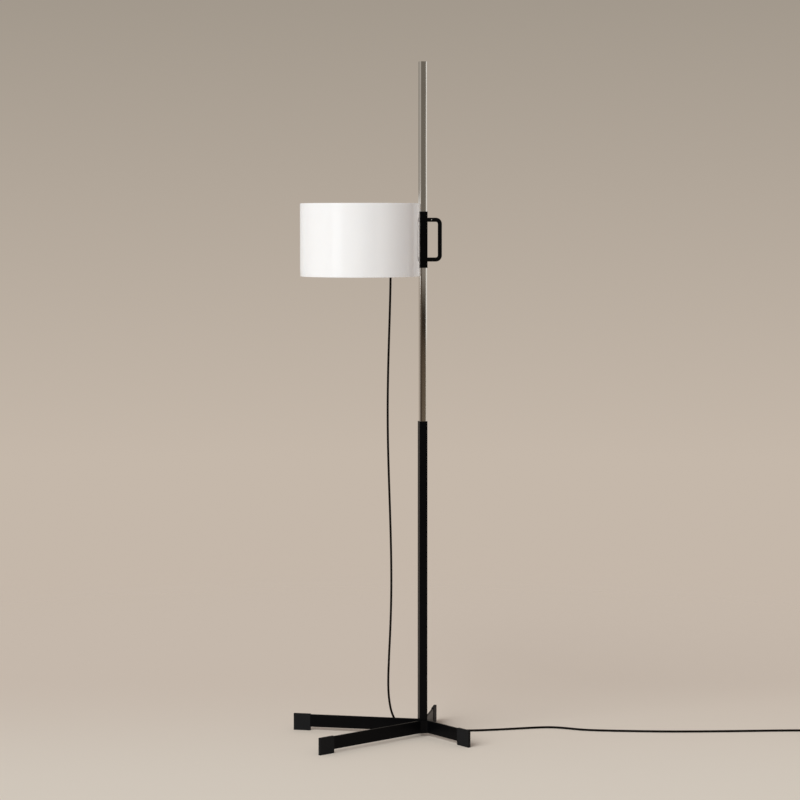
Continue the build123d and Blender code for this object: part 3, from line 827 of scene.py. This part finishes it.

# %% [markdown]
# ## Floor
#
# The studio is one pale warm surface that runs from the floor up into the backdrop with no line between
# them. A wall would hide the lamp from behind, so the floor is a disc that fades out, and the world
# carries on its colour. The fade is a mask on the distance from the lamp. The paper also grows paler
# towards the camera, which is painted light: it stands in for more light on the near floor.

# %% Lay the floor
FLOOR_RADIUS = 3.4
FLOOR_SIDES = 96
FADE_FROM = 1.3
FADE_TO = 3.2
PAINTED_DIM_FROM = -0.8
PAINTED_LIT_AT = 0.7
PAPER_IN_PAINTED_SHADE = (0.664, 0.578, 0.496, 1)
PAPER_IN_PAINTED_LIGHT = (0.746, 0.682, 0.597, 1)
TO_CAMERA = Vector((-math.sin(CAMERA_TURN), -math.cos(CAMERA_TURN), 0))


def floor_finish():
    """Matt paper with painted light: paler towards the camera as if lit more there, and it fades out far
    from the lamp.
    """
    material, tree = new_finish("studio floor")
    away = tree.vector("LENGTH", tree.place(), out="Value")
    # Painted light: the paper's colour grows paler towards the camera, as if the near floor were lit more.
    painted_light_nearer = tree.vector("DOT_PRODUCT", tree.place(), TO_CAMERA, out="Value").step(PAINTED_DIM_FROM, PAINTED_LIT_AT)
    paper = tree.node("ShaderNodeBsdfPrincipled", inputs={
        "Base Color": tree.mix(painted_light_nearer, PAPER_IN_PAINTED_SHADE, PAPER_IN_PAINTED_LIGHT),
        "Roughness": 0.9,
        "Specular IOR Level": 0.0,
    })
    clear = tree.node("ShaderNodeBsdfTransparent")
    faded = tree.node("ShaderNodeMixShader", inputs={0: away.step(FADE_FROM, FADE_TO), 1: paper, 2: clear})
    tree.node("ShaderNodeOutputMaterial", inputs={"Surface": faded})
    return material


disc = bmesh.new()
bmesh.ops.create_circle(disc, cap_ends=True, radius=FLOOR_RADIUS, segments=FLOOR_SIDES)
floor_mesh = bpy.data.meshes.new("floor")
disc.to_mesh(floor_mesh)
disc.free()
floor_mesh.materials.append(floor_finish())
floor = bpy.data.objects.new("floor", floor_mesh)
scene.collection.objects.link(floor)
print("floor radius", FLOOR_RADIUS)

# %% [markdown]
# ## Backdrop
#
# Behind the lamp the studio darkens slowly upwards, and this darkening is painted shade in the backdrop's
# colour. A painted wall would need its own light to stay even. The world has no such trouble: a ramp on
# the height of a ray's direction gives the same slow change all round.

# %% Paint the backdrop
# Painted shade: the backdrop's colour grows darker as a ray's direction goes up.
BACKDROP = [
    (-0.24, (0.61, 0.546, 0.474, 1)), (-0.2, (0.558, 0.475, 0.402, 1)), (-0.1, (0.558, 0.478, 0.402, 1)),
    (0.09, (0.366, 0.319, 0.266, 1)), (0.25, (0.296, 0.258, 0.216, 1)),
]

world = bpy.data.worlds.new("studio")
world.use_nodes = True
world.node_tree.nodes.clear()
scene.world = world
room = Tree(world.node_tree)
way = room.node("ShaderNodeTexCoord", out="Generated")
height = room.node("ShaderNodeSeparateXYZ", inputs={0: way}, out="Z")


def by_height(levels):
    """A colour that goes through the given ones as a ray's direction goes up."""
    low = levels[0][0]
    reach = levels[-1][0] - low
    stops = [((level - low) / reach, color) for level, color in levels]
    return room.node("ShaderNodeValToRGB", {"stops": stops}, {0: (height - low) / reach})


backdrop = by_height(BACKDROP)
print("backdrop with", len(BACKDROP), "levels")

# %% [markdown]
# ## The room that the metal mirrors
#
# Chrome and gloss need something to show, and in a studio that is the rest of the room: a bright wall
# to the right of the camera, a dim corner next to it, a soft panel on the left. Walls could be
# modelled, but they would shade the lamp. Here each one is a patch of the world with soft edges,
# between two turns from the camera in degrees and two heights, and only mirrored rays will see it.

# %% Furnish the room
CAMERA_RIGHT = Vector((math.cos(CAMERA_TURN), -math.sin(CAMERA_TURN), 0))
DIM_CORNER = [
    (-0.09, (0.15, 0.115, 0.08, 1)), (-0.055, (0.085, 0.06, 0.039, 1)), (-0.047, (0.02, 0.013, 0.008, 1)),
    (-0.039, (0.014, 0.009, 0.005, 1)), (-0.032, (0.11, 0.09, 0.065, 1)), (-0.023, (0.32, 0.28, 0.24, 1)),
    (-0.005, (0.175, 0.152, 0.123, 1)),
]
PATCHES = {
    "bright wall": ((33.1, 110, 0.8), (-0.05, 1, 0.003), (0.9, 0.87, 0.82, 1)),
    "foot of the bright wall": ((34.2, 110, 0.8), (-1, -0.053, 0.003), (0.72, 0.66, 0.58, 1)),
    "far right panel": ((128, 156, 3), (-0.05, 0.012, 0.004), (0.92, 0.9, 0.86, 1)),
    "far left panel": ((-175, -128, 5), (-0.0205, 0.009, 0.003), (0.66, 0.64, 0.61, 1)),
    "top of the far left": ((-175, -150, 3), (0.012, 1, 0.004), (0.27, 0.245, 0.21, 1)),
    "top of the left": ((-146, 5, 3), (0.012, 1, 0.004), (0.45, 0.41, 0.365, 1)),
    "foot of the left": ((-138, 5, 3), (-1, -0.04, 0.02), (0.19, 0.157, 0.128, 1)),
    "soft panel": ((-52, -35, 2), (-0.0275, 0.009, 0.002), (1.5, 1.5, 1.5, 1)),
    "dim corner": ((6, 33, 1), (-1, 1, 0.01), by_height(DIM_CORNER)),
    "edge of the dim corner": ((6, 26.2, 0.8), (-1, -0.02, 0.006), (0.055, 0.037, 0.023, 1)),
}


def between(reading, start, end, soft):
    """A mask with soft edges for a reading between two values."""
    return reading.step(start - soft, start) * (1 - reading.step(end, end + soft))


to_right = room.vector("DOT_PRODUCT", way, CAMERA_RIGHT, out="Value")
to_camera = room.vector("DOT_PRODUCT", way, TO_CAMERA, out="Value")
turn = room.math("ARCTAN2", to_right, to_camera) * math.degrees(1)
mirrored_room = backdrop
for turns, heights, color in PATCHES.values():
    mirrored_room = room.mix(between(turn, *turns) * between(height, *heights), mirrored_room, color)
print("room with", ", ".join(PATCHES))

# %% [markdown]
# ## Soft light
#
# The rest of the studio is an even soft light, a little stronger from the left. A Light Path node tells
# the rays apart: the camera and clear things see the backdrop, mirrored rays see the furnished room,
# and all others find the soft light.

# %% Light the room
SOFT_LEFT = (0.55, 0.508, 0.494, 1)
SOFT_RIGHT = (0.38, 0.348, 0.336, 1)

soft_light = room.mix(to_right * 0.5 + 0.5, SOFT_LEFT, SOFT_RIGHT)
mirrored = room.node("ShaderNodeLightPath", out="Is Glossy Ray")
through = room.node("ShaderNodeLightPath", out="Is Transmission Ray")
seen = room.math("MAXIMUM", through, room.node("ShaderNodeLightPath", out="Is Camera Ray"))
light = room.mix(mirrored, room.mix(seen, soft_light, backdrop), mirrored_room)
background = room.node("ShaderNodeBackground", inputs={"Color": light})
room.node("ShaderNodeOutputWorld", inputs={"Surface": background})
print("soft light from", SOFT_LEFT[:3], "on the left to", SOFT_RIGHT[:3], "on the right")

# %% [markdown]
# ## Key light
#
# A large soft source far off to the front left gives the drum its light side and its slow fall into
# shade on the right. An area lamp would light the near floor more than the far floor. A sun lamp lights
# it evenly, and a wide angle makes its shadows as soft as a big panel's.

# %% Set the key light
KEY_TURN = math.radians(36.5)
KEY_RISE = math.radians(34)
KEY_WIDTH = math.radians(46)
KEY_DISTANCE = 4
KEY_STRENGTH = 2.27
KEY_COLOR = (0.932, 0.992, 1.01)

key_way = Matrix.Rotation(-KEY_TURN, 3, "Z") @ TO_CAMERA * math.cos(KEY_RISE) + UP * math.sin(KEY_RISE)
key_data = bpy.data.lights.new("key", "SUN")
key_data.angle = KEY_WIDTH
key_data.energy = KEY_STRENGTH
key_data.color = KEY_COLOR
key = bpy.data.objects.new("key", key_data)
key.location = key_way * KEY_DISTANCE
key.rotation_euler = key_way.to_track_quat("Z", "Y").to_euler()
scene.collection.objects.link(key)
print("key light from", tuple(round(v, 2) for v in key_way))

# %% [markdown]
